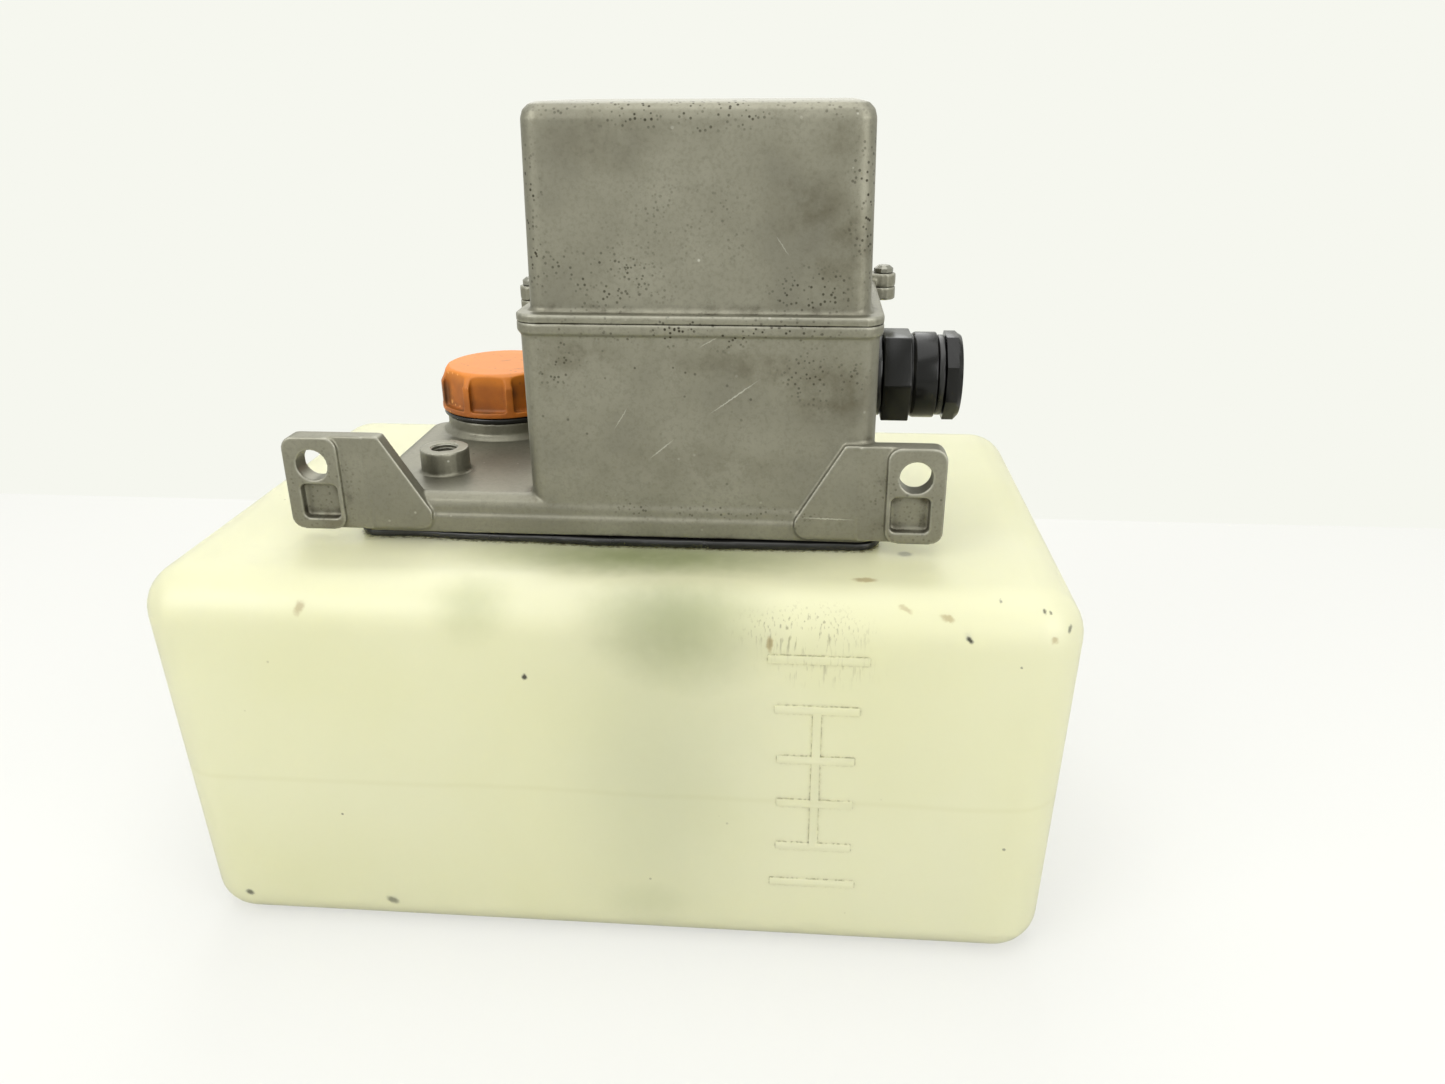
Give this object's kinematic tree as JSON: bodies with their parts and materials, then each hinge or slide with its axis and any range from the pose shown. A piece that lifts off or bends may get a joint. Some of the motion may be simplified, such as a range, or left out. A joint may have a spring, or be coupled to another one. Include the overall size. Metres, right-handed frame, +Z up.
{
  "type": "oil lubricator with reservoir",
  "caption": "Motor-driven piston oil lubricator: translucent box reservoir under a die-cast head with two mounting ears, screw filler cap, outlet port and cable gland.",
  "frame": {"origin": "centre of the tank's underside, on the surface it stands on", "axes": "+X to the right along the tank's length as seen from the ear side, +Y from the ear side to the far side, +Z up"},
  "size_m": [0.329, 0.2036, 0.299],
  "materials": {
    "tank_polyethylene": "translucent blow-moulded polyethylene",
    "cast_aluminium": "bare die-cast, weathered",
    "black_rubber": "matt",
    "orange_plastic": "moulded, worn",
    "black_plastic": "moulded",
    "zinc_plated_steel": "zinc plated",
    "brass": "turned",
    "steel_mesh": "woven wire, drawn as a thin wall",
    "copper_pipe": "drawn",
    "pale_plastic": "moulded",
    "motor_steel": "plated and painted"
  },
  "bodies": {
    "frame": {"tank": "tank_polyethylene", "tank_gasket": "black_rubber", "clamp_frame": "zinc_plated_steel", "tank_screw_front_left": "zinc_plated_steel", "tank_screw_front_middle": "zinc_plated_steel", "tank_screw_front_right": "zinc_plated_steel", "tank_screw_rear_left": "zinc_plated_steel", "tank_screw_rear_middle": "zinc_plated_steel", "tank_screw_rear_right": "zinc_plated_steel", "pump_body": "cast_aluminium", "cover": "cast_aluminium", "cover_gasket": "black_rubber", "cover_screw_left": "zinc_plated_steel", "cover_screw_right": "zinc_plated_steel", "filler_strainer": "steel_mesh", "gland_seal": "black_rubber", "gland_body": "black_plastic", "gland_seal_ring": "black_rubber", "gland_nut": "black_plastic", "gland_locknut": "black_plastic", "pump_cylinder": "cast_aluminium", "pump_screw_left": "zinc_plated_steel", "pump_screw_right": "zinc_plated_steel", "inlet_valve": "brass", "delivery_valve": "brass", "suction_tube": "pale_plastic", "suction_strainer": "steel_mesh", "delivery_pipe": "copper_pipe", "return_spring": "zinc_plated_steel", "motor_bracket": "zinc_plated_steel", "bracket_screw_left": "zinc_plated_steel", "bracket_screw_right": "zinc_plated_steel", "gear_case": "motor_steel", "motor": "motor_steel", "float_stem": "brass", "float_stem_nut": "brass", "float_stop": "zinc_plated_steel", "terminal_block": "pale_plastic"},
    "cap_seal": {"cap_gasket": "black_rubber"},
    "cap": {"filler_cap": "orange_plastic"},
    "cam": {"snail_cam": "zinc_plated_steel", "drive_shaft": "motor_steel"},
    "plunger": {"piston": "brass", "piston_rod": "zinc_plated_steel", "spring_collar": "zinc_plated_steel"},
    "float": {"level_float": "black_plastic"},
    "inlet_check": {"inlet_ball": "zinc_plated_steel"},
    "delivery_check": {"delivery_ball": "zinc_plated_steel"}
  },
  "joints": [
    {"name": "cap_lift", "type": "slide", "parent": "frame", "child": "cap_seal", "axis": [0, 0, 1], "range_m": [0, 0.01]},
    {"name": "cap_turn", "type": "hinge", "parent": "cap_seal", "child": "cap", "pos_m": [-0.0617, 0.0304, 0.1768], "axis": [0, 0, 1], "range_deg": [0, 900]},
    {"name": "cam_turn", "type": "hinge", "parent": "frame", "child": "cam", "pos_m": [0.01, -0.013, 0.211], "axis": [0, 1, 0], "range_deg": [0, 300]},
    {"name": "piston_slide", "type": "slide", "parent": "frame", "child": "plunger", "axis": [0, 0, -1], "range_m": [0, 0.012], "stiffness_N_per_m": 300, "springref_m": -0.004, "deforming": ["return_spring"]},
    {"name": "float_slide", "type": "slide", "parent": "frame", "child": "float", "axis": [0, 0, 1], "range_m": [0, 0.085]},
    {"name": "inlet_ball_lift", "type": "slide", "parent": "frame", "child": "inlet_check", "axis": [0, 0, 1], "range_m": [0, 0.0015]},
    {"name": "delivery_ball_lift", "type": "slide", "parent": "frame", "child": "delivery_check", "axis": [-1, 0, 0], "range_m": [0, 0.0015]}
  ],
  "couplings": [
    {"joint": "cap_turn", "follows": "cap_lift", "rad_per_m": 1570.8},
    {"joint": "cam_turn", "follows": "piston_slide", "rad_per_m": 436.33}
  ]
}
